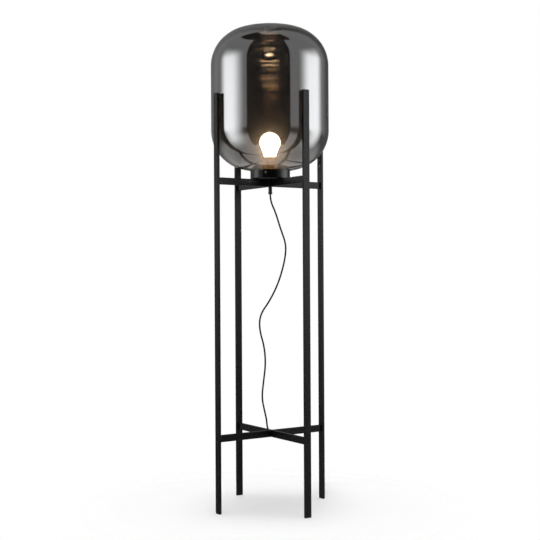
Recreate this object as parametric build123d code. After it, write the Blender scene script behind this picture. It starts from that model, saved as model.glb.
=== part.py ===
from build123d import *
import math
import os

# Globe floor lamp: four flat-bar legs joined by two crosses, a globe in a cup on the upper cross.
# Millimetres, +Z up. Origin: centre of the lamp at floor level. The legs stand on the X and Y axes.

# Flat bar, used for the legs and for both crosses
bar_width = 20.0
bar_thickness = 8.0
bar_edge = 0.6  # rounding of the long edges

# Frame
leg_length = 1190.0
glide_thickness = 2.0
glide_inset = 0.5
lower_cross_height = 202.5  # floor to the underside of the lower cross
upper_cross_height = 934.0  # floor to the underside of the upper cross
hub_radius = 10.0
hub_slot_depth = 2.0
lap_clearance = 0.1

# Countersunk screws through the legs into the ends of the crosses
screw_radius = 2.0
screw_length = 20.0
screw_head_radius = 4.0
screw_head_land = 0.3
screw_hex = 2.5
screw_hex_depth = 1.4
screw_clearance = 0.1
thread_clearance = 0.05
hole_extra = 1.0  # a blind hole is this much deeper than its screw

# Glass globe
globe_radius = 172.0
globe_height = 424.0
globe_wall = 3.0
upper_shoulder = 111.0
upper_crown = 605.0
lower_shoulder = 114.0
lower_crown = 330.0
globe_gap = 5.0  # glass to the inside of the legs
neck_radius = 52.0
neck_length = 17.5
neck_fillet = 2.5
seat_gap = 0.3

# Cup that the globe stands in
cup_radius = 58.0
cup_height = 26.5
cup_wall = 1.5
cup_corner = 4.0
gasket_thickness = 2.7
gasket_width = 6.5

# Three screws that hold the globe's neck
globe_screw_count = 3
globe_screw_first = 225.0  # degrees
globe_screw_drop = 8.5  # below the cup's rim
globe_screw_radius = 2.0
globe_screw_head = 3.5
globe_screw_head_height = 2.4
globe_screw_slot = 1.0
globe_screw_tip_gap = 0.3
globe_nut_across = 7.0
globe_nut_height = 3.0

# Threaded tube, nut and washer that clamp the cup and the lampholder
nipple_radius = 5.0
nipple_bore = 3.4
nipple_bottom = 10.5  # above the underside of the upper cross
nipple_grip = 9.0  # how far it stands into the lampholder
washer_radius = 10.0
washer_thickness = 1.0
nut_across = 14.0
nut_height = 3.5

# Cord grip under the upper cross
grip_stub = 9.0
grip_radius = 5.5
grip_length = 16.0
grip_collar_radius = 6.2
grip_collar_length = 6.0
grip_chamfer = 0.8
flex_clearance = 0.1

# E27 lampholder
holder_radius = 20.0
holder_height = 60.0
holder_wall = 1.8
holder_neck_radius = 9.0
holder_neck = 3.5
holder_dome = 9.0
holder_cap_height = 24.0
holder_rounding = 0.8
core_height = 14.0
core_clearance = 0.3
sleeve_radius = 14.3
sleeve_wall = 0.8
sleeve_height = 26.0
contact_thickness = 1.0
contact_width = 7.0
contact_length = 22.0
terminal_radius = 1.75
terminal_spacing = 18.0
terminal_height = 2.0

# Bulb, A60 with an E27 cap
bulb_radius = 30.0
bulb_length = 105.4
bulb_wall = 1.0
bulb_neck_radius = 13.7
bulb_collar_radius = 15.2
bulb_collar_height = 4.0
cap_root_radius = 12.3
cap_crest_radius = 13.1
cap_wall = 0.4
cap_height = 20.0
cap_plain = 3.0
thread_pitch = 3.62
thread_turns = 4
insulator_height = 4.0
tip_radius = 4.8
tip_height = 1.2
tip_gap = 0.3
stem_radius = 4.5
stem_height = 44.0
filament_count = 4
filament_radius = 1.1
filament_length = 34.0

# Cord and what is on it
cord_radius = 2.5
floor_clearance = 0.1
clip_places = (77.0, 109.0)
clip_side = 7.9  # from the middle of the bar to the middle of the cord
clip_level = 205.8
clip_width = 7.0
clip_wall = 1.1
clip_plate = 14.0
clip_clearance = 0.2

# Put-away length: a hank that stands on edge behind the +X leg, in line with it
hank_run = 56.0
hank_fold = 15.5  # radius of the tightest fold
hank_step = 6.3  # between strands of one layer
hank_layer = 5.7  # between the layers
hank_waist = 7.5
hank_middle = 89.0  # from the leg to the middle of the hank
hank_side = -0.5
hank_lead_in = 13.0
tie_width = 10.0
tie_thickness = 0.9
tie_clearance = 0.6

# Two-pin plug
plug_height = 35.3
plug_width = 13.7
plug_length = 24.0
plug_tail = 14.0
plug_tail_radius = 4.0
plug_edge = 3.0
plug_side = 1.0
plug_rise = 36.0  # how far the cord takes to rise from the floor to the plug
pin_radius = 2.0
pin_length = 19.0
pin_spacing = 18.6
pin_rounding = 1.2

# Levels and radii that follow from the sizes above
leg_inner = globe_radius + globe_gap
leg_outer = leg_inner + bar_thickness
leg_middle = (leg_inner + leg_outer) / 2
lower_cross_middle = lower_cross_height + bar_width / 2
upper_cross_middle = upper_cross_height + bar_width / 2
upper_cross_top = upper_cross_height + bar_width
cup_floor = upper_cross_top + cup_wall
cup_rim = upper_cross_top + cup_height
gasket_top = cup_floor + gasket_thickness
globe_bottom = gasket_top + seat_gap
globe_apex_low = globe_bottom + neck_length
globe_apex_high = globe_apex_low + globe_height
washer_top = cup_floor + washer_thickness
holder_bottom = washer_top + nut_height
holder_top = holder_bottom + holder_height
holder_inner = holder_radius - holder_wall
dome_top = holder_bottom + holder_neck + holder_dome
core_top = dome_top + core_height
tip_bottom = core_top + contact_thickness + tip_gap
tip_top = tip_bottom + tip_height
insulator_top = tip_top + insulator_height
cap_top = insulator_top + cap_height
bulb_top = tip_bottom + bulb_length
grip_bottom = upper_cross_height - grip_length - grip_collar_length

os.makedirs("parts", exist_ok=True)


def write(name, *solids):
    """Writes one node, as one solid or as a group of separate ones."""
    shape = solids[0] if len(solids) == 1 else Compound(children=list(solids))
    export_step(shape, f"parts/{name}.step")


def turned(*points):
    """A solid of revolution about Z from (radius, height) corners."""
    return revolve(make_face(Polyline([(r, 0, z) for r, z in points], close=True)), Axis.Z)


def rod(radius, low, high):
    return Pos(0, 0, (low + high) / 2) * Cylinder(radius, high - low)


def ring(outer, inner, low, high):
    return rod(outer, low, high) - rod(inner, low, high)


def hex_prism(across, low, height):
    return Pos(0, 0, low) * extrude(RegularPolygon(across / math.sqrt(3), 6), height)


def along_x(solid):
    """Lays a solid that was made along +Z along +X."""
    return Rot(0, 90, 0) * solid


def flat_bar(length, width, thickness):
    """A bar along X, centred, on edge, with its long edges rounded."""
    bar = Box(length, thickness, width)
    return fillet(bar.edges().filter_by(Axis.X), bar_edge)


def at_angle(angle, solid):
    return Rot(0, 0, angle) * solid


# Legs, glides and the screws in them -------------------------------------------------

leg_places = {"front_left": 180, "front_right": 270, "rear_right": 0, "rear_left": 90}
cross_levels = (lower_cross_middle, upper_cross_middle)


def screw_shape(grow, length):
    """A countersunk screw along -X, its head's face at x = 0; grow widens it into its hole."""
    cone = screw_head_radius - screw_radius
    profile = turned(
        (0, 0),
        (screw_head_radius + grow, 0),
        (screw_head_radius + grow, screw_head_land),
        (screw_radius + grow, screw_head_land + cone),
        (screw_radius + grow, length),
        (0, length),
    )
    return Rot(0, -90, 0) * profile


def leg():
    bar = Rot(0, 90, 0) * flat_bar(leg_length, bar_thickness, bar_width)
    bar = Pos(leg_middle, 0, glide_thickness + leg_length / 2) * bar
    for level in cross_levels:
        bar -= Pos(leg_outer, 0, level) * screw_shape(screw_clearance, screw_length)
    return bar


def glide():
    height = glide_thickness
    pad = Box(bar_thickness - 2 * glide_inset, bar_width - 2 * glide_inset, height)
    return Pos(leg_middle, 0, height / 2) * pad


def leg_screw(level):
    hexagon = Rot(0, -90, 0) * hex_prism(screw_hex, 0, screw_hex_depth)
    return Pos(leg_outer, 0, level) * (screw_shape(0, screw_length) - hexagon)


leg_screws = []
for name, angle in leg_places.items():
    write(f"leg_{name}", at_angle(angle, leg()))
    write(f"glide_{name}", at_angle(angle, glide()))
    leg_screws += [at_angle(angle, leg_screw(level)) for level in cross_levels]
write("leg_screws", *leg_screws)


# Crosses -----------------------------------------------------------------------------


def tapped_hole(level):
    """The blind hole in the end of a bar, at the inside of a +X leg."""
    depth = screw_length - bar_thickness + hole_extra
    hole = along_x(rod(screw_radius + thread_clearance, leg_inner - depth, leg_inner + 1))
    return Pos(0, 0, level) * hole


def lower_bar(notch_side):
    """A bar across the lamp, notched to half its width at the middle, above (1) or below (-1)."""
    bar = Pos(0, 0, lower_cross_middle) * flat_bar(2 * leg_inner, bar_width, bar_thickness)
    opening = bar_thickness + 2 * lap_clearance
    notch = Box(opening, 2 * bar_thickness, bar_width)
    bar -= Pos(0, 0, lower_cross_middle + notch_side * bar_width / 2) * notch
    for angle in (0, 180):
        bar -= at_angle(angle, tapped_hole(lower_cross_middle))
    return bar


def upper_arm():
    """One arm of the upper cross, from the slot in the hub to its leg."""
    start = hub_radius - hub_slot_depth
    bar = flat_bar(leg_inner - start, bar_width, bar_thickness)
    bar = Pos((leg_inner + start) / 2, 0, upper_cross_middle) * bar
    return bar - tapped_hole(upper_cross_middle)


write("lower_bar_under", lower_bar(1))
write("lower_bar_over", at_angle(90, lower_bar(-1)))
for name, angle in leg_places.items():
    write(f"upper_arm_{name}", at_angle(angle, upper_arm()))

hub = ring(hub_radius, nipple_radius + thread_clearance, upper_cross_height, upper_cross_top)
slot = Pos(hub_radius, 0, upper_cross_middle) * Box(2 * hub_slot_depth, bar_thickness, bar_width)
for angle in leg_places.values():
    hub -= at_angle(angle, slot)
write("cross_hub", hub)


# Cup, its gasket and the screws that hold the globe ----------------------------------

screw_level = cup_rim - globe_screw_drop
screw_angles = [globe_screw_first + i * 360 / globe_screw_count for i in range(globe_screw_count)]


def radial(radius, start, end):
    """A rod along X from one distance to another, at the level of the globe screws."""
    return Pos(0, 0, screw_level) * along_x(rod(radius, start, end))


cup = rod(cup_radius, upper_cross_top, cup_rim)
cup = fillet(cup.edges().sort_by(Axis.Z)[0], cup_corner)
inside = rod(cup_radius - cup_wall, cup_floor, cup_rim)
cup -= fillet(inside.edges().sort_by(Axis.Z)[0], cup_corner - cup_wall)
cup -= rod(nipple_radius + screw_clearance, upper_cross_top - 1, cup_floor + 1)
for angle in screw_angles:
    hole = radial(globe_screw_radius + screw_clearance, cup_radius - 3 * cup_wall, cup_radius + 1)
    cup -= at_angle(angle, hole)
write("globe_cup", cup)

gasket_middle = neck_radius - globe_wall / 2
write(
    "globe_gasket",
    ring(gasket_middle + gasket_width / 2, gasket_middle - gasket_width / 2, cup_floor, gasket_top),
)


def globe_screw():
    """A slotted screw whose head rests on the outside of the cup."""
    body = radial(globe_screw_radius, neck_radius + globe_screw_tip_gap, cup_radius)
    head = radial(globe_screw_head, cup_radius, cup_radius + globe_screw_head_height)
    head = fillet(head.edges().sort_by(Axis.X)[-1], globe_screw_head_height / 3)
    groove = Box(globe_screw_slot, 3 * globe_screw_head, globe_screw_slot)
    place = cup_radius + globe_screw_head_height
    return body + head - Pos(place, 0, screw_level) * groove


def globe_nut():
    """A square nut welded inside the cup behind each screw."""
    far = cup_radius - cup_wall
    flat = math.sqrt(far**2 - (globe_nut_across / 2) ** 2)
    nut = Box(globe_nut_height, globe_nut_across, globe_nut_across)
    nut = Pos(flat - globe_nut_height / 2, 0, screw_level) * nut
    return nut - radial(globe_screw_radius + thread_clearance, flat - 2 * globe_nut_height, far)


for number, angle in enumerate(screw_angles, 1):
    write(f"globe_screw_{number}", at_angle(angle, globe_screw()))
write("globe_screw_nuts", *[at_angle(angle, globe_nut()) for angle in screw_angles])


# Globe -------------------------------------------------------------------------------


def dome(radius, shoulder, crown, apex, up):
    """Two arcs in the XZ plane, from the axis over the crown and shoulder to the wall.

    up is 1 for the top and -1 for the bottom. Returns the arcs and where the wall starts.
    """
    rise = math.sqrt((crown - shoulder) ** 2 - (radius - shoulder) ** 2)
    crown_centre = apex - up * crown
    level = crown_centre + up * rise
    join = math.atan2(rise, radius - shoulder)

    def on_crown(angle):
        return (crown * math.cos(angle), 0, crown_centre + up * crown * math.sin(angle))

    def on_shoulder(angle):
        place = radius - shoulder + shoulder * math.cos(angle)
        return (place, 0, level + up * shoulder * math.sin(angle))

    top = math.pi / 2
    over = ThreePointArc((0, 0, apex), on_crown((top + join) / 2), on_crown(join))
    side = ThreePointArc(on_crown(join), on_shoulder(join / 2), (radius, 0, level))
    return [over, side], level


def globe_body(inset):
    """The globe's closed shape without its neck, inset by a wall."""
    radius = globe_radius - inset
    high = globe_apex_high - inset
    low = globe_apex_low + inset
    top, wall_top = dome(radius, upper_shoulder - inset, upper_crown - inset, high, 1)
    bottom, wall_bottom = dome(radius, lower_shoulder - inset, lower_crown - inset, low, -1)
    wall = Line((radius, 0, wall_top), (radius, 0, wall_bottom))
    axis = Line((0, 0, low), (0, 0, high))
    return revolve(make_face([*top, wall, *bottom, axis]), Axis.Z)


def on_bottom(radius, inset):
    """The height of the globe's underside at a radius near its neck."""
    crown = lower_crown - inset
    return globe_apex_low + inset + crown - math.sqrt(crown**2 - radius**2)


neck_bore = neck_radius - globe_wall
neck_top = on_bottom(neck_radius, globe_wall)
globe = globe_body(0) + rod(neck_radius, globe_bottom, neck_top)
corner = [
    edge
    for edge in globe.edges()
    if abs(edge.bounding_box().size.X - 2 * neck_radius) < 0.1 and edge.center().Z > globe_bottom + 1
]
globe = fillet(corner, neck_fillet)
globe -= globe_body(globe_wall)
globe -= rod(neck_bore, globe_bottom - 1, globe_apex_low + 3 * globe_wall)
write("glass_globe", globe)


# Cord grip, threaded tube, washer and nut --------------------------------------------

flex_hole = cord_radius + flex_clearance
grip = ring(nipple_radius, flex_hole, upper_cross_height, upper_cross_height + grip_stub)
grip += ring(grip_radius, flex_hole, grip_bottom, upper_cross_height)
collar = ring(grip_collar_radius, flex_hole, grip_bottom, grip_bottom + grip_collar_length)
collar = chamfer(collar.edges().filter_by(GeomType.CIRCLE).group_by(SortBy.RADIUS)[-1], grip_chamfer)
write("cord_grip", grip + collar)

nipple_low = upper_cross_height + nipple_bottom
nipple_top = holder_bottom + nipple_grip
write("threaded_tube", ring(nipple_radius, nipple_bore, nipple_low, nipple_top))
washer_hole = nipple_radius + screw_clearance
write("cup_washer", ring(washer_radius, washer_hole, cup_floor, washer_top))
nut_hole = rod(nipple_radius + thread_clearance, washer_top - 1, holder_bottom + 1)
write("cup_nut", hex_prism(nut_across, washer_top, nut_height) - nut_hole)
write("inner_flex", rod(cord_radius, grip_bottom, dome_top))


# Lampholder --------------------------------------------------------------------------

thread_hole = nipple_radius + thread_clearance
neck_level = holder_bottom + holder_neck
cap_rim = holder_bottom + holder_cap_height
write(
    "holder_cap",
    turned(
        (thread_hole, holder_bottom),
        (holder_neck_radius, holder_bottom),
        (holder_neck_radius, neck_level),
        (holder_radius - holder_wall, dome_top - 2 * holder_wall),
        (holder_radius, dome_top),
        (holder_radius, cap_rim),
        (holder_inner, cap_rim),
        (holder_inner, dome_top),
        (holder_inner - 2 * holder_wall, dome_top),
        (holder_neck_radius, nipple_top + thread_clearance),
        (thread_hole, nipple_top + thread_clearance),
    ),
)
shell = ring(holder_radius, holder_inner, cap_rim, holder_top)
write("holder_shell", fillet(shell.edges().group_by(Axis.Z)[-1], holder_rounding))

core = rod(holder_inner - core_clearance, dome_top, core_top)
terminals = []
for side in (-1, 1):
    place = Pos(side * terminal_spacing / 2, 0, 0)
    core -= place * rod(terminal_radius + thread_clearance, dome_top - 1, dome_top + 2 * terminal_height)
    terminals.append(place * rod(terminal_radius, dome_top, dome_top + terminal_height))
write("holder_core", core)
write("terminal_screws", *terminals)
sleeve_inner = sleeve_radius - sleeve_wall
write("thread_sleeve", ring(sleeve_radius, sleeve_inner, core_top, core_top + sleeve_height))
contact = Box(contact_length, contact_width, contact_thickness)
contact = fillet(contact.edges().filter_by(Axis.Z), contact_width / 3)
write("centre_contact", Pos(0, 0, core_top + contact_thickness / 2) * contact)


# Bulb --------------------------------------------------------------------------------


def envelope(inset):
    """The bulb's glass: a ball that runs into a cone and a short collar."""
    radius = bulb_radius - inset
    middle = bulb_top - bulb_radius
    foot = bulb_collar_radius - inset
    foot_level = cap_top + bulb_collar_height
    slope = math.hypot(foot, middle - foot_level)
    turn = math.asin(radius / slope) - math.atan2(foot, middle - foot_level)
    touch = (radius * math.cos(turn), 0, middle - radius * math.sin(turn))
    half = (math.pi / 2 - turn) / 2
    over = (radius * math.cos(half), 0, middle + radius * math.sin(half))
    neck = bulb_neck_radius - inset
    edges = [
        ThreePointArc((0, 0, middle + radius), over, touch),
        Polyline(touch, (foot, 0, foot_level), (neck, 0, cap_top), (0, 0, cap_top)),
        Line((0, 0, cap_top), (0, 0, middle + radius)),
    ]
    return revolve(make_face(edges), Axis.Z)


write("bulb_envelope", envelope(0) - envelope(bulb_wall))

ridges = []
first_ridge = insulator_top + cap_plain
for turn in range(thread_turns):
    level = first_ridge + turn * thread_pitch
    ridges += [(cap_root_radius, level), (cap_crest_radius, level + thread_pitch / 2)]
ridges.append((cap_root_radius, first_ridge + thread_turns * thread_pitch))
cap_inner = cap_root_radius - cap_wall
write(
    "bulb_cap",
    turned(
        (cap_inner, insulator_top),
        (cap_root_radius, insulator_top),
        *ridges,
        (cap_root_radius, cap_top - 2 * cap_wall),
        (cap_crest_radius, cap_top),
        (cap_inner, cap_top),
    ),
)
insulator = turned((0, tip_top), (tip_radius, tip_top), (cap_root_radius, insulator_top), (0, insulator_top))
write("bulb_insulator", insulator)
write("bulb_contact", rod(tip_radius, tip_bottom, tip_top))

stem_foot = cap_top
stem = rod(stem_radius, stem_foot, stem_foot + stem_height)
stem += rod(bulb_neck_radius - bulb_wall - thread_clearance, stem_foot, stem_foot + 1)
write("bulb_stem", fillet(stem.edges().sort_by(Axis.Z)[-1], stem_radius / 2))
filament_low = stem_foot + (stem_height - filament_length) / 2 + bulb_collar_height
filaments = []
for number in range(filament_count):
    strip = Pos(stem_radius + filament_radius, 0, 0)
    strip = strip * rod(filament_radius, filament_low, filament_low + filament_length)
    filaments.append(at_angle(45 + number * 360 / filament_count, strip))
write("bulb_filaments", *filaments)


# Cord --------------------------------------------------------------------------------

# Hidden places are given from the +X leg: away from the viewer, and to one side.
away = Vector(0.589, 0.808, 0).normalized()
aside = Vector(away.Y, -away.X, 0)
cord_floor = cord_radius + floor_clearance


def behind(distance, side, height):
    """A place behind the +X leg."""
    place = Vector(leg_middle, 0, 0) + away * distance + aside * side
    return Vector(place.X, place.Y, height)


hank_start = behind(hank_middle + hank_run / 2 - hank_lead_in, hank_side, cord_floor)
cord_points = [
    Vector(0, 0, grip_bottom),
    Vector(0, 0, 893),
    Vector(14.1, -6.9, 858),
    Vector(27.6, -11, 812),
    Vector(43.2, -17.6, 766),
    Vector(41.3, -15.2, 727),
    Vector(32.9, -12.1, 690),
    Vector(19.4, -8, 648),
    Vector(-2.7, 1.8, 600),
    Vector(-27.2, 16.7, 560),
    Vector(-27.6, 20.6, 517),
    Vector(-12.4, 16.5, 464),
    Vector(-6.5, 19.9, 412),
    Vector(-9.4, 27.7, 360),
    Vector(-10.2, 36, 314),
    Vector(0.2, 37.6, 274),
    Vector(8.4, 39.4, 248),
    Vector(10.9, 40, 222.7),
    Vector(18.3, 35.1, 209.7),
    Vector(30.1, 27.1, 203),
    Vector(61, 8.3, clip_level),
    Vector(93, 7.5, clip_level),
    Vector(125, 8.3, clip_level),
    Vector(150, 11.7, 206.2),
    Vector(169, 18.5, 205.8),
    Vector(188, 28, 203.3),
    Vector(201.5, 37.6, 195),
    behind(52, -6.1, 178),
    behind(55, -6.1, 150),
    behind(49, -6.3, 102),
    behind(42, -6.1, 58),
    behind(44, -6.1, 28),
    behind(58, -6.2, 8.5),
    behind(80, -5.5, cord_floor),
    behind(93, hank_side, cord_floor),
    hank_start,
]


def bend_radii(points):
    """For each inner point, 0.45 of the shorter run over the tangent of half the turn."""
    radii = []
    for before, here, after in zip(points, points[1:], points[2:]):
        first = here - before
        second = after - here
        half_turn = math.radians(first.get_angle(second)) / 2
        radii.append(0.45 * min(first.length, second.length) / math.tan(half_turn))
    return radii


def tube(path, radius):
    start = Plane(origin=path @ 0, z_dir=path % 0)
    return sweep(start * Circle(radius), path=path)


def report_tube(name, solid, path):
    section = math.pi * cord_radius**2
    share = solid.volume / (section * path.length)
    print(f"{name}: {path.length:.1f} mm long, volume {share:.4f} of section times length")


radii = bend_radii(cord_points)
print("cord bend radii:", [round(radius) for radius in radii])
cord_path = FilletPolyline(*cord_points, radius=radii)
cord = tube(cord_path, cord_radius)
report_tube("cord", cord, cord_path)
write("cord", cord)

clip_outer = Pos(clip_side, clip_level) * Circle(cord_radius + clip_clearance + clip_wall)
clip_hole = Pos(clip_side, clip_level) * Circle(cord_radius + clip_clearance)
plate_level = clip_level + clip_plate / 4
plate = Pos((bar_thickness + clip_wall) / 2, plate_level) * Rectangle(clip_wall, clip_plate)
clip_profile = clip_outer + plate - clip_hole
clips = []
for place in clip_places:
    across = Plane(origin=(place - clip_width / 2, 0, 0), x_dir=(0, 1, 0), z_dir=(1, 0, 0))
    clips.append(extrude(across * clip_profile, clip_width))
write("cord_clips", *clips)


# Hank, its tie and the plug ----------------------------------------------------------

hank_height = 2 * hank_fold + 2 * hank_step
side_near = hank_side
side_far = hank_side + hank_layer


def hank_point(along, level, side):
    return behind(hank_middle + along, side, cord_floor + level)


def s_bend(start, end, direction):
    """Two equal arcs that leave start and reach end in the same direction."""
    middle = (start + end) / 2
    first = TangentArc(start, middle, tangent=direction)
    second = TangentArc(middle, end, tangent=first % 1)
    return [first, second]


def hank_runs():
    """The hank's path: loops on edge, spiralling in on one layer and out again on the other."""
    edges = []
    half = hank_run / 2
    entry = hank_point(half - hank_lead_in, 0, side_near)
    edges.append(Line(entry, hank_point(half, 0, side_near)))
    level = 0
    end = half
    # (level that the next fold reaches, level step sign, layer before and after the run)
    folds = [
        (hank_height, side_near, side_near),
        (hank_step, side_near, side_near),
        (hank_height - hank_step, side_near, side_far),
        (hank_step, side_far, side_far),
        (hank_height, side_far, side_far),
        (0, side_far, side_far),
    ]
    for reached, side, next_side in folds:
        radius = abs(reached - level) / 2
        outward = math.copysign(radius, end)
        start = hank_point(end, level, side)
        crest = hank_point(end + outward, (level + reached) / 2, side)
        edges.append(ThreePointArc(start, crest, hank_point(end, reached, side)))
        level = reached
        pull = hank_waist if level < hank_height / 2 else -hank_waist
        heading = away * math.copysign(1, -end)
        waist = hank_point(0, level + pull, next_side)
        edges += s_bend(hank_point(end, level, side), waist, heading)
        end = -end
        edges += s_bend(waist, hank_point(end, level, next_side), heading)
    clear_of_loops = half + hank_height / 2 + cord_radius
    edges.append(Line(hank_point(half, 0, side_far), hank_point(clear_of_loops, 0, side_far)))
    plug_level = plug_height / 2 - cord_floor
    risen = clear_of_loops + plug_rise
    top = hank_point(risen, plug_level, plug_side)
    edges += s_bend(hank_point(clear_of_loops, 0, side_far), top, away)
    plug_place = risen + 2 * cord_radius
    edges.append(Line(top, hank_point(plug_place, plug_level, plug_side)))
    return Wire(edges), plug_place


def least_gap(path, radius):
    """The smallest gap between stretches of a tube that are far apart along it."""
    count = int(path.length / 2.0)
    spacing = path.length / count
    places = [path @ (i / count) for i in range(count + 1)]
    skip = int(8 * radius / spacing)
    least = min(
        (places[i] - places[j]).length
        for i in range(len(places))
        for j in range(i + skip, len(places))
    )
    return least - 2 * radius


hank_path, plug_place = hank_runs()
hank = tube(hank_path, cord_radius)
report_tube("hank", hank, hank_path)
print(f"hank: least gap to itself {least_gap(hank_path, cord_radius):.2f} mm")
print(f"cord and hank together: {cord_path.length + hank_path.length:.0f} mm")
write("cord_hank", hank)

turn_to_line = math.degrees(math.atan2(away.Y, away.X))
hank_centre = (side_near + side_far) / 2


def in_line(along, side, height, solid):
    """Turns a solid made along X into line with the hank and places it there."""
    place = hank_point(along, 0, side)
    return Pos(place.X, place.Y, height) * Rot(0, 0, turn_to_line) * solid


tie_inner_width = hank_layer + 2 * cord_radius + 2 * tie_clearance
tie_inner_height = hank_height - 2 * hank_waist + 2 * cord_radius + 2 * tie_clearance
outer_width = tie_inner_width + 2 * tie_thickness
outer_height = tie_inner_height + 2 * tie_thickness
tie = Box(tie_width, outer_width, outer_height)
tie = fillet(tie.edges().filter_by(Axis.X), 2 * tie_thickness)
hole = Box(2 * tie_width, tie_inner_width, tie_inner_height)
tie -= fillet(hole.edges().filter_by(Axis.X), tie_thickness)
write("cord_tie", in_line(0, hank_centre, cord_floor + hank_height / 2, tie))

body = Pos(plug_tail + plug_length / 2, 0, 0) * Box(plug_length, plug_width, plug_height)
body = fillet(body.edges().filter_by(Axis.X), plug_edge)
tail = along_x(turned((0, 0), (plug_tail_radius, 0), (1.4 * plug_tail_radius, plug_tail), (0, plug_tail)))
write("plug_body", in_line(plug_place, plug_side, plug_height / 2, body + tail))
pins = []
for side in (-1, 1):
    pin = along_x(rod(pin_radius, plug_tail + plug_length, plug_tail + plug_length + pin_length))
    pin = fillet(pin.edges().sort_by(Axis.X)[-1], pin_rounding)
    pin = Pos(0, 0, side * pin_spacing / 2) * pin
    pins.append(in_line(plug_place, plug_side, plug_height / 2, pin))
write("plug_pins", *pins)
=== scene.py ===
import math

import bmesh
import bpy
from mathutils import Matrix, Vector


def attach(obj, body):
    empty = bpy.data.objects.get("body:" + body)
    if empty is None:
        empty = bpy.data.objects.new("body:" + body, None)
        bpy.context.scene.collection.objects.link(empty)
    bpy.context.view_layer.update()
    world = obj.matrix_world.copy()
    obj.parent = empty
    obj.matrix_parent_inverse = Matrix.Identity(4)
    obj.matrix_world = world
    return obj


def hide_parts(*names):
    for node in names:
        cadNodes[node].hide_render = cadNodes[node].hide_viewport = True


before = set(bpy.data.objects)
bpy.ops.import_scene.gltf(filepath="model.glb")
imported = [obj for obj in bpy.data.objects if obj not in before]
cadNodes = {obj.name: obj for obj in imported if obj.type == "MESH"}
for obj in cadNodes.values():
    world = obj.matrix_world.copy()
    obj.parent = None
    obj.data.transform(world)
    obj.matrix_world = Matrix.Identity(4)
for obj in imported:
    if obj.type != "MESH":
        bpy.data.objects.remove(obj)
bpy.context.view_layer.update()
print("frame loaded:", len(cadNodes), "nodes")


# sRGB hex to linear colour
def linear(hexColour):
    parts = [int(hexColour[i:i + 2], 16) / 255 for i in (1, 3, 5)]
    return [p / 12.92 if p <= 0.04045 else ((p + 0.055) / 1.055) ** 2.4 for p in parts] + [1.0]


# adds a node with its settings; an input given as a node or a socket is linked, and any other is its value
def addNode(tree, kind, inputs=None, **settings):
    node = tree.nodes.new(kind)
    for name, value in settings.items():
        setattr(node, name, value)
    for name, value in (inputs or {}).items():
        if isinstance(value, bpy.types.Node):
            value = value.outputs[0]
        if isinstance(value, bpy.types.NodeSocket):
            tree.links.new(value, node.inputs[name])
        else:
            node.inputs[name].default_value = value
    return node


def smoothed(mesh):
    mesh.polygons.foreach_set("use_smooth", [True] * len(mesh.polygons))
    mesh.update()


def linked(name, data):
    piece = bpy.data.objects.new(name, data)
    bpy.context.scene.collection.objects.link(piece)
    return piece


# turns what the modifiers make into the piece's own plain mesh
def settled(piece):
    bpy.context.view_layer.update()
    graph = bpy.context.evaluated_depsgraph_get()
    mesh = bpy.data.meshes.new_from_object(piece.evaluated_get(graph))
    mesh.name = piece.name
    old = piece.data
    piece.modifiers.clear()
    piece.data = mesh
    bpy.data.meshes.remove(old)
    return piece


# the camera, fitted to the photograph
cameraSet = {
    "focal": 70.18, "sensor": 36.0,  # in mm
    "place": (-1.69481, -2.57393, 0.69035),
    "ahead": (0.549386, 0.835565),  # the level direction it looks in
    "roll": -0.3093,  # in degrees
}
ahead = Vector((*cameraSet["ahead"], 0)).normalized()
level = Vector((ahead.y, -ahead.x, 0))  # and the one to its right


def makeCamera():
    roll = math.radians(cameraSet["roll"])
    right = level * math.cos(roll) + Vector((0, 0, math.sin(roll)))
    up = Vector((0, 0, math.cos(roll))) - level * math.sin(roll)
    data = bpy.data.cameras.new("camera")
    data.lens = cameraSet["focal"]
    data.sensor_width = cameraSet["sensor"]
    camera = linked("camera", data)
    axes = Matrix((right, up, -ahead)).transposed()
    camera.matrix_world = Matrix.Translation(cameraSet["place"]) @ axes.to_4x4()
    return camera


bpy.context.scene.camera = makeCamera()

cordSet = {
    "thick": 0.005,
    "length": 1.962,
    "floor": 0.0026,  # height of its middle where it lies on the floor
    "roundness": 5, "smoothness": 10,  # how finely its mesh is divided, round it and along it
}
# the rest of the cord, wound into a flat hank that stands on edge behind the rear right leg
hankSet = {
    "leg": (0.181, 0, 0), "away": (0.589, 0.808, 0),  # the leg's middle, and the way from it to the hank
    "middle": 0.089,  # distance of the hank's middle
    "half": 0.028,  # half of the straight stretch between its folds
    "fold": 0.0155,  # radius of the tightest fold
    "step": 0.0063,  # from one loop to the next
    "near": -0.0005, "layer": 0.0057,  # the near layer, and how far beside it the other one lies
    "waist": 0.0075,  # how far the tie pulls a loop in
    "waistFrom": 0.75, "waistTo": 0.25,  # where a loop bends in, as shares of half
    "rise": 0.036,  # the stretch from the last fold to the plug
    "riseFrom": 0.25, "riseTo": 0.75,  # where the cord rises from the floor, as shares of that stretch
    "plugSide": 0.001, "plugHeight": 0.0353,
}
away = Vector(hankSet["away"]).normalized()
aside = Vector((away.y, -away.x, 0))


# a place behind the rear right leg
def behind(distance, side, height):
    place = Vector(hankSet["leg"]) + away * distance + aside * side
    return (place.x, place.y, height)


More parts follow.
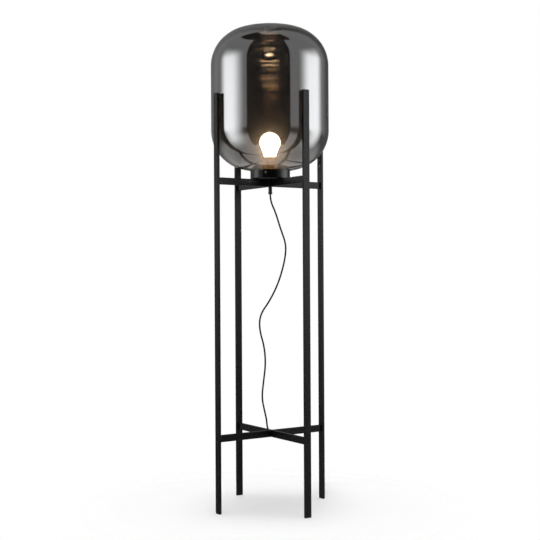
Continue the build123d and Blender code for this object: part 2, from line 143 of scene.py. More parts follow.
# from the grip in loose bends to the lower cross, along its rear arm and down behind the leg
cordPoints = [
    (0, 0, 0.912), (0, 0, 0.893), (0.0141, -0.0069, 0.858), (0.0276, -0.011, 0.812),
    (0.0432, -0.0176, 0.766), (0.0413, -0.0152, 0.727), (0.0329, -0.0121, 0.690),
    (0.0194, -0.008, 0.648), (-0.0027, 0.0018, 0.600), (-0.0272, 0.0167, 0.560),
    (-0.0276, 0.0206, 0.517), (-0.0124, 0.0165, 0.464), (-0.0065, 0.0199, 0.412),
    (-0.0094, 0.0277, 0.360), (-0.0102, 0.036, 0.314), (0.0002, 0.0376, 0.274),
    (0.0084, 0.0394, 0.248), (0.0109, 0.04, 0.2227), (0.0183, 0.0351, 0.2097),
    (0.0301, 0.0271, 0.203), (0.061, 0.0083, 0.2058), (0.093, 0.0075, 0.2058),
    (0.125, 0.0083, 0.2058), (0.150, 0.0117, 0.2062), (0.169, 0.0185, 0.2058),
    (0.188, 0.028, 0.2033), (0.2015, 0.0376, 0.195),
    behind(0.052, -0.0061, 0.178), behind(0.055, -0.0061, 0.150),
    behind(0.049, -0.0063, 0.102), behind(0.042, -0.0061, 0.058),
    behind(0.044, -0.0061, 0.028), behind(0.058, -0.0062, 0.0085),
    behind(0.080, -0.0055, cordSet["floor"]), behind(0.093, -0.0005, cordSet["floor"]),
]


# the hank's loops spiral in on the near layer and out again on the far one
def hankPoints():
    points = []
    half = hankSet["half"]
    bendFrom = hankSet["waistFrom"] * half
    bendTo = hankSet["waistTo"] * half
    fold = hankSet["fold"]
    step = hankSet["step"]
    near = hankSet["near"]
    far = near + hankSet["layer"]
    full = 2 * fold + 2 * step
    # for each fold: the height it reaches, its own layer and the next one's
    folds = [
        (full, near, near),
        (step, near, near),
        (full - step, near, far),
        (step, far, far),
        (full, far, far),
        (0, far, far),
    ]
    corners = 4  # in each half turn
    corner = math.pi / corners / 2

    def put(along, height, side):
        points.append(behind(hankSet["middle"] + along, side, cordSet["floor"] + height))

    height = 0
    facing = 1
    put(bendFrom, 0, near)
    for reached, side, nextSide in folds:
        radius = abs(reached - height) / 2
        turn = 1 if reached > height else -1
        middle = (reached + height) / 2
        out = radius / math.cos(corner)
        for i in range(corners):
            angle = (2 * i + 1 - corners) * corner
            along = facing * (half + out * math.cos(angle))
            put(along, middle + turn * out * math.sin(angle), side)
        height = reached
        pull = hankSet["waist"] if height < full / 2 else -hankSet["waist"]
        change = (nextSide - side) / 3
        put(facing * bendFrom, height, side)
        put(facing * bendTo, height + pull, side + change)
        facing = -facing
        put(facing * bendTo, height + pull, nextSide - change)
        put(facing * bendFrom, height, nextSide)
    # then along the floor and up to the middle of the plug
    clear = half + full / 2 + cordSet["thick"] / 2
    rise = hankSet["rise"]
    plugMiddle = hankSet["plugHeight"] / 2 - cordSet["floor"]
    put(clear, 0, far)
    put(clear + hankSet["riseFrom"] * rise, 0, far)
    put(clear + hankSet["riseTo"] * rise, plugMiddle, hankSet["plugSide"])
    put(clear + rise + cordSet["thick"], plugMiddle, hankSet["plugSide"])
    return points


# one open curve from the grip to the plug
def makeCord(route):
    curve = bpy.data.curves.new("powerCord", "CURVE")
    curve.dimensions = "3D"
    curve.bevel_depth = 1.0  # times each point's radius
    curve.bevel_resolution = cordSet["roundness"]
    curve.use_fill_caps = True
    curve.resolution_u = cordSet["smoothness"]
    spline = curve.splines.new("NURBS")
    spline.points.add(len(route) - 1)
    for point, place in zip(spline.points, route):
        point.co = (*place, 1.0)
        point.radius = cordSet["thick"] / 2
    spline.order_u = 3
    spline.use_endpoint_u = True
    return linked("powerCord", curve)


powerCord = makeCord(cordPoints + hankPoints())
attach(powerCord, "frame")
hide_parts("cord", "cord_hank")
print("cord laid:", len(powerCord.data.splines[0].points), "points")

noiseSpan = {"From Min": 0.35, "From Max": 0.65}  # nearly all of a noise lies between these
waveRepeat = 0.314  # metres from band to band of a wave texture at scale 1
toneSpread = 14  # how many times more slowly a surface's tones change than its grain


def newMaterial(name):
    material = bpy.data.materials.new(name)
    material.use_nodes = True
    material.node_tree.nodes.clear()
    return material, material.node_tree


# a noise of a real grain size, in metres
def grain(tree, size, detail, stretch=(1, 1, 1)):
    place = addNode(tree, "ShaderNodeTexCoord").outputs["Object"]
    mapping = addNode(tree, "ShaderNodeMapping", {"Vector": place, "Scale": stretch})
    return addNode(tree, "ShaderNodeTexNoise", {"Vector": mapping, "Scale": 1 / size, "Detail": detail})


# a surface of two close tones, with a roughness that varies; grain and depth of the relief in metres
def surface(name, tones, rough, size, depth, metallic=0.0, stretch=(1, 1, 1), **fixed):
    material, tree = newMaterial(name)
    fine = grain(tree, size, detail=3.0, stretch=stretch)
    broad = grain(tree, size * toneSpread, detail=2.0)
    share = addNode(tree, "ShaderNodeMapRange", {"Value": broad, **noiseSpan})
    # a Mix node's colours are its inputs 6 and 7 and its output 2
    tone = addNode(tree, "ShaderNodeMix", {
        0: share, 6: linear(tones[0]), 7: linear(tones[1]),
    }, data_type="RGBA").outputs[2]
    roughness = addNode(tree, "ShaderNodeMapRange", {
        "Value": fine, **noiseSpan, "To Min": rough[0], "To Max": rough[1],
    })
    relief = addNode(tree, "ShaderNodeBump", {"Height": fine, "Distance": depth})
    shader = addNode(tree, "ShaderNodeBsdfPrincipled", {
        "Base Color": tone, "Roughness": roughness, "Metallic": metallic, "Normal": relief, **fixed,
    })
    addNode(tree, "ShaderNodeOutputMaterial", {"Surface": shader})
    return material


# polyester powder coat on steel: satin black with a faint orange peel, drawn at 1.6 mm so that it shows
powderCoat = surface(
    "powderCoatedSteel", ("#0b0b0c", "#101011"), rough=(0.2, 0.3), size=0.0016, depth=0.000015,
    **{"Specular IOR Level": 0.3},
)
# polyethylene glides, moulded: dull and slightly waxy
glidePlastic = surface(
    "mouldedPolyethylene", ("#151515", "#1c1c1c"), rough=(0.5, 0.6), size=0.0009, depth=0.00002,
)
# bright nickel on brass screws: mirror-like and slightly warm
brightNickel = surface(
    "brightNickel", ("#d8d2c8", "#e4dfd6"), rough=(0.1, 0.18), size=0.0008, depth=0.000004,
    metallic=1.0,
)
# zinc plate on steel: pale blue-grey with a soft shine
zincPlate = surface(
    "zincPlatedSteel", ("#a9adb2", "#bcc0c4"), rough=(0.25, 0.38), size=0.0007, depth=0.00001,
    metallic=1.0,
)
# satin brass of the lampholder's shells, spun: fine rings that stretch its highlights
satinBrass = surface(
    "satinBrass", ("#b98d5a", "#c99f6b"), rough=(0.3, 0.42), size=0.0009, depth=0.00002, metallic=1.0,
    stretch=(0.1, 0.1, 1),
)
# stamped brass of contacts and pins: brighter
stampedBrass = surface(
    "stampedBrass", ("#c9a862", "#d6b877"), rough=(0.16, 0.26), size=0.0006, depth=0.00001,
    metallic=1.0,
)
# nickel-plated brass of the bulb's cap: a soft warm shine
capMetal = surface(
    "nickelPlatedBrass", ("#c4c0b8", "#d2cfc8"), rough=(0.18, 0.3), size=0.0008, depth=0.00001,
    metallic=1.0,
)
# tin solder on the bulb's contact: dull and uneven
tinSolder = surface(
    "tinSolder", ("#9a9b9d", "#aeb0b2"), rough=(0.35, 0.5), size=0.0012, depth=0.0001,
    metallic=1.0,
)
# EPDM gasket, moulded: black, matt and dusty
gasketRubber = surface(
    "epdmRubber", ("#161616", "#1f1f1f"), rough=(0.7, 0.85), size=0.0008, depth=0.00004,
)
# glass-filled polyamide of grip and clips, and PVC of the plug, moulded: a light spark texture dulls both
mouldedBlack = surface(
    "mouldedPolyamide", ("#17171a", "#1e1e20"), rough=(0.42, 0.52), size=0.0007, depth=0.00003,
)
# PVC sheath, extruded: a soft even sheen along its length
cordSheath = surface(
    "extrudedPvc", ("#0c0c0d", "#111112"), rough=(0.4, 0.48), size=0.0011, depth=0.00002,
    **{"Specular IOR Level": 0.3},
)
# steatite of the lampholder's core, glazed: white and shiny
steatite = surface(
    "glazedSteatite", ("#e9e4d8", "#f0ece2"), rough=(0.12, 0.2), size=0.003, depth=0.00002,
)
# vitrite between the bulb's contact and its cap: black glass
vitrite = surface("vitriteGlass", ("#0c0c10", "#121216"), rough=(0.06, 0.12), size=0.002, depth=0.00002)
# silicone-coated LED filament: yellow phosphor
phosphor = surface(
    "filamentPhosphor", ("#d9a83a", "#e8bd52"), rough=(0.5, 0.6), size=0.0008, depth=0.00002,
)
# soda-lime glass of the bulb's stem, drawn: clear
stemGlass = surface(
    "clearSodaLime", ("#eef2ef", "#f5f8f6"), rough=(0.02, 0.05), size=0.004, depth=0.00002,
    **{"Transmission Weight": 1.0},
)

tapeSet = {
    "dark": "#101011", "pale": "#2a2a2c",
    "thread": 0.00098, "wander": 0.6, "depth": 0.0003,
}


# woven polyamide hook-and-loop tape: a plain weave of 0.6 mm, drawn at 1 mm so that it shows
def makeTape():
    material, tree = newMaterial("wovenHookAndLoop")
    place = addNode(tree, "ShaderNodeTexCoord").outputs["Object"]
    across, upright = (
        addNode(tree, "ShaderNodeTexWave", {
            "Vector": place, "Scale": waveRepeat / (2 * tapeSet["thread"]),
            "Distortion": tapeSet["wander"],
        }, wave_type="BANDS", bands_direction=direction).outputs["Fac"]
        for direction in ("X", "Z")
    )
    weave = addNode(tree, "ShaderNodeMath", {0: across, 1: upright}, operation="MULTIPLY")
    tone = addNode(tree, "ShaderNodeMix", {
        0: weave, 6: linear(tapeSet["dark"]), 7: linear(tapeSet["pale"]),
    }, data_type="RGBA").outputs[2]
    relief = addNode(tree, "ShaderNodeBump", {"Height": weave, "Distance": tapeSet["depth"]})
    shader = addNode(tree, "ShaderNodeBsdfPrincipled", {
        "Base Color": tone, "Roughness": 0.85, "Normal": relief,
        "Sheen Weight": 0.3, "Sheen Roughness": 0.5,
    })
    addNode(tree, "ShaderNodeOutputMaterial", {"Surface": shader})
    return material


hookAndLoop = makeTape()

glassSet = {
    "index": 1.47,
    "thinFrom": 1.07, "thinTo": 0.99,  # heights between which the metal coat thins out
    "wave": 0.06, "waveDepth": 0.0006, "waveStrength": 0.1,  # blown glass is never quite true
    "hazeRough": 0.56, "hazeTone": "#c5a58a",  # what scatters the bulb's light into a glow
    "ring": 0.010, "ringDepth": 0.000028, "ringWander": 0.8,  # rings left inside by the turning mould
    "ringFrom": 1.1, "ringTo": 1.18,  # heights between which the rings begin
}
# coat and coatLow are the share of a face that the metal covers, high up and at the neck; haze is the share
# that scatters, and the face that has it has the rings too
glassFaces = {
    "outside": {
        "name": "smokedGlassOutside", "tone": "#9d9fa1", "coat": 0.57, "coatLow": 0.15, "haze": 0,
    },
    "inside": {
        "name": "smokedGlassInside", "tone": "#d8cfc6", "coat": 0.6, "coatLow": 0.2, "haze": 0.042,
    },
}


# smoked blown glass, metallised in a vacuum: half a mirror, that thins out towards the neck
def makeGlass(name, tone, coat, coatLow, haze):
    material, tree = newMaterial(name)
    place = addNode(tree, "ShaderNodeTexCoord").outputs["Object"]
    height = addNode(tree, "ShaderNodeSeparateXYZ", {"Vector": place}).outputs["Z"]
    cover = addNode(tree, "ShaderNodeMapRange", {
        "Value": height, "From Min": glassSet["thinTo"], "From Max": glassSet["thinFrom"],
        "To Min": coatLow, "To Max": coat,
    }, interpolation_type="SMOOTHSTEP")
    relief = addNode(tree, "ShaderNodeBump", {
        "Height": grain(tree, glassSet["wave"], detail=1.0), "Distance": glassSet["waveDepth"],
        "Strength": glassSet["waveStrength"],
    })
    if haze:
        rings = addNode(tree, "ShaderNodeTexWave", {
            "Vector": place, "Scale": waveRepeat / glassSet["ring"],
            "Distortion": glassSet["ringWander"], "Detail": 1.0,
        }, wave_type="BANDS", bands_direction="Z").outputs["Fac"]
        upper = addNode(tree, "ShaderNodeMapRange", {
            "Value": height, "From Min": glassSet["ringFrom"], "From Max": glassSet["ringTo"],
        }, interpolation_type="SMOOTHSTEP")
        ringed = addNode(tree, "ShaderNodeMath", {0: rings, 1: upper}, operation="MULTIPLY")
        relief = addNode(tree, "ShaderNodeBump", {
            "Height": ringed, "Distance": glassSet["ringDepth"], "Normal": relief,
        })
    shader = addNode(tree, "ShaderNodeBsdfPrincipled", {
        "Base Color": linear(tone), "Metallic": cover, "Roughness": 0.0,
        "IOR": glassSet["index"], "Transmission Weight": 1.0, "Normal": relief,
    })
    if haze:
        scatter = addNode(tree, "ShaderNodeBsdfPrincipled", {
            "Base Color": linear(glassSet["hazeTone"]), "Roughness": glassSet["hazeRough"],
            "IOR": glassSet["index"], "Transmission Weight": 1.0,
        })
        shader = addNode(tree, "ShaderNodeMixShader", {0: haze, 1: shader, 2: scatter})
    addNode(tree, "ShaderNodeOutputMaterial", {"Surface": shader})
    return material


glassOutside = makeGlass(**glassFaces["outside"])
glassInside = makeGlass(**glassFaces["inside"])

opalSet = {
    "light": 90.0, "glow": "#ffe9c4", "tone": "#fff8ee",
    "cloud": 0.02, "uneven": 0.04,  # size of its brighter patches, and how much they differ
}


# opal glass of the bulb, blown and lit from inside: even and warm
def makeOpal():
    material, tree = newMaterial("opalGlassLit")
    cloud = addNode(tree, "ShaderNodeMapRange", {
        "Value": grain(tree, opalSet["cloud"], detail=2.0), **noiseSpan,
        "To Min": 1 - opalSet["uneven"], "To Max": 1 + opalSet["uneven"],
    })
    light = addNode(tree, "ShaderNodeMath", {0: cloud, 1: opalSet["light"]}, operation="MULTIPLY")
    shader = addNode(tree, "ShaderNodeBsdfPrincipled", {
        "Base Color": linear(opalSet["tone"]), "Roughness": 0.3,
        "Emission Color": linear(opalSet["glow"]), "Emission Strength": light,
    })
    addNode(tree, "ShaderNodeOutputMaterial", {"Surface": shader})
    return material


opalGlass = makeOpal()

finishes = {
    "leg_front_left leg_front_right leg_rear_left leg_rear_right": powderCoat,
    "lower_bar_under lower_bar_over cross_hub globe_cup leg_screws": powderCoat,
    "upper_arm_front_left upper_arm_front_right": powderCoat,
    "upper_arm_rear_left upper_arm_rear_right": powderCoat,
    "glide_front_left glide_front_right glide_rear_left glide_rear_right": glidePlastic,
    "globe_screw_1 globe_screw_2 globe_screw_3": brightNickel,
    "globe_screw_nuts threaded_tube cup_washer cup_nut terminal_screws": zincPlate,
    "globe_gasket": gasketRubber,
    "cord_grip cord_clips plug_body": mouldedBlack,
    "inner_flex": cordSheath,
    "holder_cap holder_shell": satinBrass,
    "thread_sleeve centre_contact plug_pins": stampedBrass,
    "holder_core": steatite,
    "bulb_cap": capMetal,
    "bulb_contact": tinSolder,
    "bulb_insulator": vitrite,
    "bulb_stem": stemGlass,
    "bulb_filaments": phosphor,
}
for names, material in finishes.items():
    for name in names.split():
        mesh = cadNodes[name].data
        if not mesh.materials:
            mesh.materials.append(material)
        for index in range(len(mesh.materials)):
            mesh.materials[index] = material
powerCord.data.materials.append(cordSheath)
print("materials made:", len(bpy.data.materials))


# a tree that turns a profile about Z; the profile is a chain of points, with x as their radius
def makeTurning():
    tree = bpy.data.node_groups.new("turning", "GeometryNodeTree")
    sockets = (
        ("Profile", "NodeSocketGeometry"), ("Profile Points", "NodeSocketInt"),
        ("Segments", "NodeSocketInt"), ("Weld", "NodeSocketFloat"), ("Finish", "NodeSocketMaterial"),
    )
    for name, kind in sockets:
        tree.interface.new_socket(name, in_out="INPUT", socket_type=kind)
    tree.interface.new_socket("Piece", in_out="OUTPUT", socket_type="NodeSocketGeometry")
    given = addNode(tree, "NodeGroupInput").outputs
    segments = given["Segments"]

    # a grid with a column for each point of the profile and a row for each step round
    rows = addNode(tree, "ShaderNodeMath", {0: segments, 1: 1.0}, operation="ADD")
    grid = addNode(tree, "GeometryNodeMeshGrid", {
        "Vertices X": given["Profile Points"], "Vertices Y": rows,
    })
    index = addNode(tree, "GeometryNodeInputIndex")
    ratio = addNode(tree, "ShaderNodeMath", {0: index, 1: rows}, operation="DIVIDE")
    column = addNode(tree, "ShaderNodeMath", {0: ratio}, operation="FLOOR")
    row = addNode(tree, "ShaderNodeMath", {0: index, 1: rows}, operation="FLOORED_MODULO")

    # each vertex goes to its point of the profile, turned by its row's share of a circle
    here = addNode(tree, "GeometryNodeInputPosition")
    point = addNode(tree, "GeometryNodeSampleIndex", {
        "Geometry": given["Profile"], "Value": here, "Index": column,
    }, data_type="FLOAT_VECTOR", domain="POINT")
    part = addNode(tree, "ShaderNodeSeparateXYZ", {"Vector": point}).outputs
    share = addNode(tree, "ShaderNodeMath", {0: row, 1: segments}, operation="DIVIDE")
    angle = addNode(tree, "ShaderNodeMath", {0: share, 1: 2 * math.pi}, operation="MULTIPLY")
    cosine = addNode(tree, "ShaderNodeMath", {0: angle}, operation="COSINE")
    sine = addNode(tree, "ShaderNodeMath", {0: angle}, operation="SINE")
    x = addNode(tree, "ShaderNodeMath", {0: part["X"], 1: cosine}, operation="MULTIPLY")
    y = addNode(tree, "ShaderNodeMath", {0: part["X"], 1: sine}, operation="MULTIPLY")
    place = addNode(tree, "ShaderNodeCombineXYZ", {"X": x, "Y": y, "Z": part["Z"]})
    turned = addNode(tree, "GeometryNodeSetPosition", {"Geometry": grid, "Position": place})

    # the seam and the pole are welded
    welded = addNode(tree, "GeometryNodeMergeByDistance", {
        "Geometry": turned, "Distance": given["Weld"],
    })
    real = addNode(tree, "GeometryNodeRealizeInstances", {"Geometry": welded})
    done = addNode(tree, "GeometryNodeSetMaterial", {"Geometry": real, "Material": given["Finish"]})
    addNode(tree, "NodeGroupOutput", {0: done})
    return tree


turning = makeTurning()
weldDistance = 0.00001


# turns a mesh's faces outwards, which comes before its wall gets its thickness
def facedOutwards(mesh):
    work = bmesh.new()
    work.from_mesh(mesh)
    bmesh.ops.recalc_face_normals(work, faces=work.faces)
    highest = max(work.faces, key=lambda face: face.calc_center_median().z)
    if highest.normal.z < 0:
        bmesh.ops.reverse_faces(work, faces=work.faces)
    work.to_mesh(mesh)
    work.free()


# a profile of (radius, height) runs from the piece's top to its foot; the wall is measured inwards
def turnedPiece(name, profile, segments, wall, finish, inside=None):
    mesh = bpy.data.meshes.new(name)
    edges = [(i, i + 1) for i in range(len(profile) - 1)]
    mesh.from_pydata([(radius, 0, height) for radius, height in profile], edges, [])
    piece = linked(name, mesh)
    modifier = piece.modifiers.new("turning", "NODES")
    modifier.node_group = turning
    values = {
        "Profile Points": len(profile), "Segments": segments, "Weld": weldDistance, "Finish": finish,
    }
    for item in turning.interface.items_tree:
        if item.name in values:
            modifier[item.identifier] = values[item.name]
    piece = settled(piece)
    facedOutwards(piece.data)
    solid = piece.modifiers.new("wall", "SOLIDIFY")
    solid.thickness = wall
    solid.offset = -1
    solid.use_even_offset = True
    if inside:
        piece.data.materials.append(inside)
        solid.material_offset = 1
        solid.material_offset_rim = 0
    piece = settled(piece)
    smoothed(piece.data)
    return piece


# points round an arc, with its start and end in degrees
def arcPoints(centre, radius, start, end, count):
    points = []
    for i in range(count + 1):
        angle = math.radians(start + (end - start) * i / count)
        points.append((centre[0] + radius * math.cos(angle), centre[1] + radius * math.sin(angle)))
    return points


globeSet = {
    "radius": 0.172, "top": 1.4, "low": 0.976, "wall": 0.003,
    "upperShoulder": 0.111, "upperCrown": 0.605,  # radii of the arcs above the upright wall
    "lowerShoulder": 0.114, "lowerCrown": 0.330,  # and of those below it
    "neck": 0.052, "foot": 0.9585, "neckFillet": 0.0025,
    "segments": 192,
    "crownSteps": 14, "wallSteps": 8, "filletSteps": 6, "neckSteps": 3,
}


# a flat crown and a rounder shoulder, from the middle out to the upright wall; up is 1 or -1
def crownAndShoulder(apex, crown, shoulder, up):
    steps = globeSet["crownSteps"]
    shoulderMiddle = globeSet["radius"] - shoulder
    rise = math.sqrt((crown - shoulder) ** 2 - shoulderMiddle ** 2)
    crownMiddle = apex - up * crown
    join = math.degrees(math.atan2(rise, shoulderMiddle))
    over = arcPoints((0, crownMiddle), crown, up * 90, up * join, steps)
    side = arcPoints((shoulderMiddle, crownMiddle + up * rise), shoulder, up * join, 0, 2 * steps)
    return over[:-1] + side


def globeProfile():
    g = globeSet
    points = crownAndShoulder(g["top"], g["upperCrown"], g["upperShoulder"], 1)
    under = crownAndShoulder(g["low"], g["lowerCrown"], g["lowerShoulder"], -1)
    wallTop = points[-1][1]
    wallFoot = under[-1][1]
    for i in range(1, g["wallSteps"]):
        points.append((g["radius"], wallTop + (wallFoot - wallTop) * i / g["wallSteps"]))
    # the fillet's centre lies its radius outside both the neck and the crown
    crownMiddle = g["low"] + g["lowerCrown"]
    corner = g["neck"] + g["neckFillet"]
    reach = g["lowerCrown"] + g["neckFillet"]
    filletMiddle = crownMiddle - math.sqrt(reach ** 2 - corner ** 2)
    meets = corner * g["lowerCrown"] / reach
    tooNear = 0.0005  # a point of the crown this close to the fillet is left out
    points += [point for point in reversed(under) if point[0] > meets + tooNear]
    start = math.degrees(math.atan2(crownMiddle - filletMiddle, -corner))
    points += arcPoints((corner, filletMiddle), g["neckFillet"], start, 180, g["filletSteps"])
    for i in range(1, g["neckSteps"] + 1):
        points.append((g["neck"], filletMiddle + (g["foot"] - filletMiddle) * i / g["neckSteps"]))
    return points


glassGlobe = turnedPiece(
    "glassGlobe", globeProfile(), globeSet["segments"], globeSet["wall"], glassOutside, glassInside
)
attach(glassGlobe, "globe")
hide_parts("glass_globe")
print("globe turned:", len(glassGlobe.data.polygons), "faces")

bulbSet = {
    "radius": 0.030, "top": 1.0932, "wall": 0.001,
    "collar": 0.0152, "collarLevel": 1.017,  # where its cone ends
    "hollow": 0.0012,  # the cone is a little hollow, as on blown bulbs
    "tuckIn": 0.0004, "tuckDown": 0.0015,  # then it is tucked into the cap
    "neck": 0.0137, "neckFoot": 1.0131,
    "segments": 96,
    "ballSteps": 30, "coneSteps": 8,
}


def bulbProfile():
    b = bulbSet
    middle = b["top"] - b["radius"]
    drop = middle - b["collarLevel"]
    slope = math.hypot(b["collar"], drop)
    turn = math.degrees(math.asin(b["radius"] / slope) - math.atan2(b["collar"], drop))
    points = arcPoints((0, middle), b["radius"], 90, -turn, b["ballSteps"])
    touch = points[-1]
    for i in range(1, b["coneSteps"] + 1):
        share = i / b["coneSteps"]
        points.append((
            touch[0] + (b["collar"] - touch[0]) * share - b["hollow"] * math.sin(math.pi * share),
            touch[1] + (b["collarLevel"] - touch[1]) * share,
        ))
    points.append((b["collar"] - b["tuckIn"], b["collarLevel"] - b["tuckDown"]))
    points.append((b["neck"], b["neckFoot"]))
    return points


opalBulb = turnedPiece("opalBulb", bulbProfile(), bulbSet["segments"], bulbSet["wall"], opalGlass)
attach(opalBulb, "bulb")
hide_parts("bulb_envelope")
print("bulb turned:", len(opalBulb.data.polygons), "faces")

tieSet = {
    "width": 0.010, "thick": 0.0009, "edge": 0.00015,
    "inWide": 0.0119, "inHigh": 0.0348,  # the room inside its loop
    "corner": 0.0014, "cornerSteps": 5, "strips": 3,
}


# the tie is a band round the hank's middle, with rounded corners
def makeTie():
    wide = tieSet["inWide"] / 2 + tieSet["thick"] / 2
    high = tieSet["inHigh"] / 2 + tieSet["thick"] / 2
    corner = tieSet["corner"]
    middleSide = hankSet["near"] + hankSet["layer"] / 2
    middleUp = cordSet["floor"] + hankSet["fold"] + hankSet["step"]
    loop = []
    for sideSign, upSign, start in ((1, 1, 0), (-1, 1, 90), (-1, -1, 180), (1, -1, 270)):
        centre = (sideSign * (wide - corner), upSign * (high - corner))
        loop += arcPoints(centre, corner, start, start + 90, tieSet["cornerSteps"])
    strips = tieSet["strips"]
    work = bmesh.new()
    rings = []
    across = [hankSet["middle"] + tieSet["width"] * (i / strips - 0.5) for i in range(strips + 1)]
    for side, up in loop:
        rings.append([
            work.verts.new(behind(distance, middleSide + side, middleUp + up)) for distance in across
        ])
    for here, there in zip(rings, rings[1:] + rings[:1]):
        for i in range(strips):
            work.faces.new((here[i], here[i + 1], there[i + 1], there[i]))
    bmesh.ops.recalc_face_normals(work, faces=work.faces)
    mesh = bpy.data.meshes.new("cordTie")
    work.to_mesh(mesh)
    work.free()
    tie = linked("cordTie", mesh)
    solid = tie.modifiers.new("thickness", "SOLIDIFY")
    solid.thickness = tieSet["thick"]
    solid.offset = 0
    bevel = tie.modifiers.new("edges", "BEVEL")
    bevel.width = tieSet["edge"]
    bevel.segments = 2
    bevel.limit_method = "ANGLE"
    tie = settled(tie)
    smoothed(tie.data)
    tie.data.materials.append(hookAndLoop)
    return tie


cordTie = makeTie()
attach(cordTie, "frame")
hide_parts("cord_tie")
bpy.context.view_layer.update()
print("tie made")

floorSet = {
    "radius": 1.2, "segments": 96,
    "fadeFrom": 0.3, "fadeTo": 0.7,  # where it fades into the white round it
    "lit": 0.72,  # how much of its white is lit, and so takes the shadow
}


# pale studio floor, painted and matt: white but for the lamp's soft shadow
def makeFloorPaint():
    material, tree = newMaterial("paleStudioFloor")
    place = addNode(tree, "ShaderNodeTexCoord").outputs["Object"]
    distance = addNode(tree, "ShaderNodeVectorMath", {0: place}, operation="LENGTH").outputs["Value"]
    fade = addNode(tree, "ShaderNodeMapRange", {
        "Value": distance, "From Min": floorSet["fadeFrom"], "From Max": floorSet["fadeTo"],
    }, interpolation_type="SMOOTHSTEP")
    lit = floorSet["lit"]
    matt = addNode(tree, "ShaderNodeBsdfDiffuse", {"Color": (lit, lit, lit, 1)})
    ray = addNode(tree, "ShaderNodeLightPath").outputs
    seen = ray["Is Camera Ray"]
    rest = addNode(tree, "ShaderNodeMath", {0: seen, 1: 1.0 - lit}, operation="MULTIPLY")
    white = addNode(tree, "ShaderNodeEmission", {"Strength": rest})
    floorPaint = addNode(tree, "ShaderNodeAddShader", {0: matt, 1: white})
    # the glass mirrors the studio's own floor, which is part of the world, in place of this one
    gone = addNode(tree, "ShaderNodeMath", {0: fade, 1: ray["Is Glossy Ray"]}, operation="MAXIMUM")
    clear = addNode(tree, "ShaderNodeBsdfTransparent")
    shader = addNode(tree, "ShaderNodeMixShader", {0: gone, 1: floorPaint, 2: clear})
    addNode(tree, "ShaderNodeOutputMaterial", {"Surface": shader})
    return material


def makeFloor():
    mesh = bpy.data.meshes.new("floor")
    work = bmesh.new()
    bmesh.ops.create_circle(
        work, cap_ends=True, segments=floorSet["segments"], radius=floorSet["radius"]
    )
    work.to_mesh(mesh)
    work.free()
    mesh.materials.append(makeFloorPaint())
    return linked("floor", mesh)


floor = makeFloor()

studioSet = {
    "farFloor": 0.06,  # light where no patch adds any
    "unlit": 0.004,  # light of the unlit patches
    "narrowFrom": 3, "narrowTo": -9,  # the rise in which the soft boxes narrow
    "overhead": 0.34, "beam": 260.0,  # share and narrowness of the light from above on matt surfaces
    "behind": 60,  # the white backdrop shows through the glass this far to each side
}
# patches of the room that the glass mirrors, and the light that each one adds; their edges are in degrees,
# from where there is nothing of it to where it is full: rise is up from level, and turn is round from the
# camera, with a third number for how far that edge comes in where the soft boxes narrow
studioPatches = {
    "walls": {"adds": 0.162, "rise": [(-8, 4)]},
    "wallsBeside": {"adds": 0.198, "rise": [(-8, 4)], "turn": [(-150, -124, 0), (150, 124, 0)]},
    "darkCorner": {"adds": -0.1512, "rise": [(-8, 4)], "turn": [(122, 138, 0), (178, 150, 0)]},
    "nearFloor": {"adds": 0.55, "rise": [(-11, -28)]},
    "leftSoftBox": {
        "adds": 3.1, "rise": [(-52, -4), (34, 6)], "turn": [(-114, -92, 9), (-48, -80, 0)],
    },
    "rightSoftBox": {
        "adds": 3.1, "rise": [(-52, -4), (34, 8)], "turn": [(57, 85, 13), (124, 102, 0)],
    },
}
# and patches in which it is unlit
unlitPatches = {
    "behindCamera": {"rise": [(-54, -52), (78, 76)], "turn": [(-46, -44, 0), (41, 39, 0)]},
    "aboveCamera": {"rise": [(55, 57), (79, 77)], "turn": [(-104, -102, 0), (64, 62, 0)]},
}


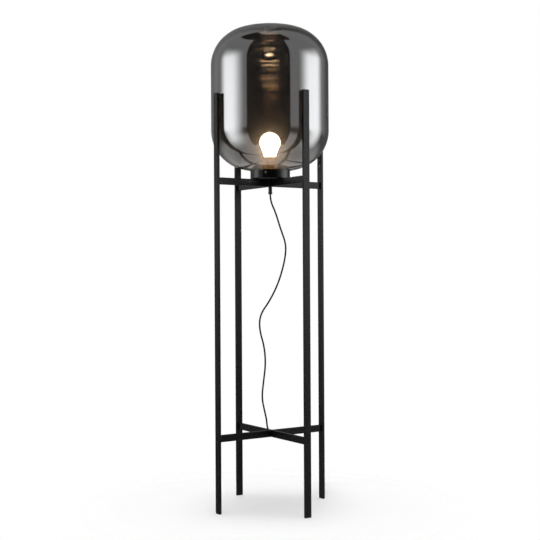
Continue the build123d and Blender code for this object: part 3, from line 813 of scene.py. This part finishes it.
# the studio: white behind, a soft box on each side and an unlit room behind the camera
def makeStudio():
    world = bpy.data.worlds.new("studio")
    bpy.context.scene.world = world
    world.use_nodes = True
    tree = world.node_tree
    tree.nodes.clear()
    direction = addNode(tree, "ShaderNodeTexCoord").outputs["Generated"]
    sideways, towards, upwards = (
        addNode(tree, "ShaderNodeVectorMath", {
            0: direction, 1: axis,
        }, operation="DOT_PRODUCT").outputs["Value"]
        for axis in (tuple(level), tuple(-ahead), (0, 0, 1))
    )
    inDegrees = 180 / math.pi
    around = addNode(tree, "ShaderNodeMath", {0: sideways, 1: towards}, operation="ARCTAN2")
    turn = addNode(tree, "ShaderNodeMath", {0: around, 1: inDegrees}, operation="MULTIPLY")
    up = addNode(tree, "ShaderNodeMath", {0: upwards}, operation="ARCSINE")
    rise = addNode(tree, "ShaderNodeMath", {0: up, 1: inDegrees}, operation="MULTIPLY")
    narrow = addNode(tree, "ShaderNodeMapRange", {
        "Value": rise, "From Min": studioSet["narrowFrom"], "From Max": studioSet["narrowTo"],
    }, interpolation_type="SMOOTHSTEP")

    # 1 inside a patch and 0 outside it
    def patch(edges):
        share = 1.0
        sides = [(rise, start, full) for start, full in edges["rise"]]
        for start, full, leans in edges.get("turn", ()):
            leaned = addNode(tree, "ShaderNodeMath", {
                0: narrow, 1: -leans, 2: turn,
            }, operation="MULTIPLY_ADD")
            sides.append((leaned, start, full))
        for angle, start, full in sides:
            side = addNode(tree, "ShaderNodeMapRange", {
                "Value": angle, "From Min": start, "From Max": full,
            }, interpolation_type="SMOOTHSTEP")
            share = addNode(tree, "ShaderNodeMath", {0: share, 1: side}, operation="MULTIPLY")
        return share

    room = studioSet["farFloor"]
    for edges in studioPatches.values():
        room = addNode(tree, "ShaderNodeMath", {
            0: patch(edges), 1: edges["adds"], 2: room,
        }, operation="MULTIPLY_ADD")
    unlit = 0.0
    for edges in unlitPatches.values():
        unlit = addNode(tree, "ShaderNodeMath", {0: patch(edges), 1: unlit}, operation="MAXIMUM")
    mirrored = addNode(tree, "ShaderNodeMix", {0: unlit, 2: room, 3: studioSet["unlit"]})

    # matt surfaces are lit evenly and from above
    over = studioSet["overhead"]
    above = addNode(tree, "ShaderNodeMath", {0: upwards, 1: 0.0}, operation="MAXIMUM")
    beam = addNode(tree, "ShaderNodeMath", {0: above, 1: studioSet["beam"]}, operation="POWER")
    matt = addNode(tree, "ShaderNodeMath", {
        0: beam, 1: over * (studioSet["beam"] / 2 + 1), 2: 1.0 - over,
    }, operation="MULTIPLY_ADD")

    ray = addNode(tree, "ShaderNodeLightPath").outputs
    through = ray["Is Transmission Ray"]
    sharp = addNode(tree, "ShaderNodeMath", {0: ray["Is Glossy Ray"], 1: through}, operation="MAXIMUM")
    studio = addNode(tree, "ShaderNodeMix", {0: sharp, 2: matt, 3: mirrored})
    # what shows through the glass is the white behind the lamp, and so is what the camera sees
    limit = -math.cos(math.radians(studioSet["behind"]))
    backdrop = addNode(tree, "ShaderNodeMath", {0: towards, 1: limit}, operation="LESS_THAN")
    seenThrough = addNode(tree, "ShaderNodeMath", {0: through, 1: backdrop}, operation="MULTIPLY")
    white = addNode(tree, "ShaderNodeMath", {
        0: ray["Is Camera Ray"], 1: seenThrough,
    }, operation="MAXIMUM")
    strength = addNode(tree, "ShaderNodeMix", {0: white, 2: studio, 3: 1.0})
    background = addNode(tree, "ShaderNodeBackground", {"Color": (1, 1, 1, 1), "Strength": strength})
    addNode(tree, "ShaderNodeOutputWorld", {"Surface": background})


makeStudio()
bpy.context.scene.view_settings.view_transform = "Standard"
print("studio set")
bpy.context.view_layer.update()
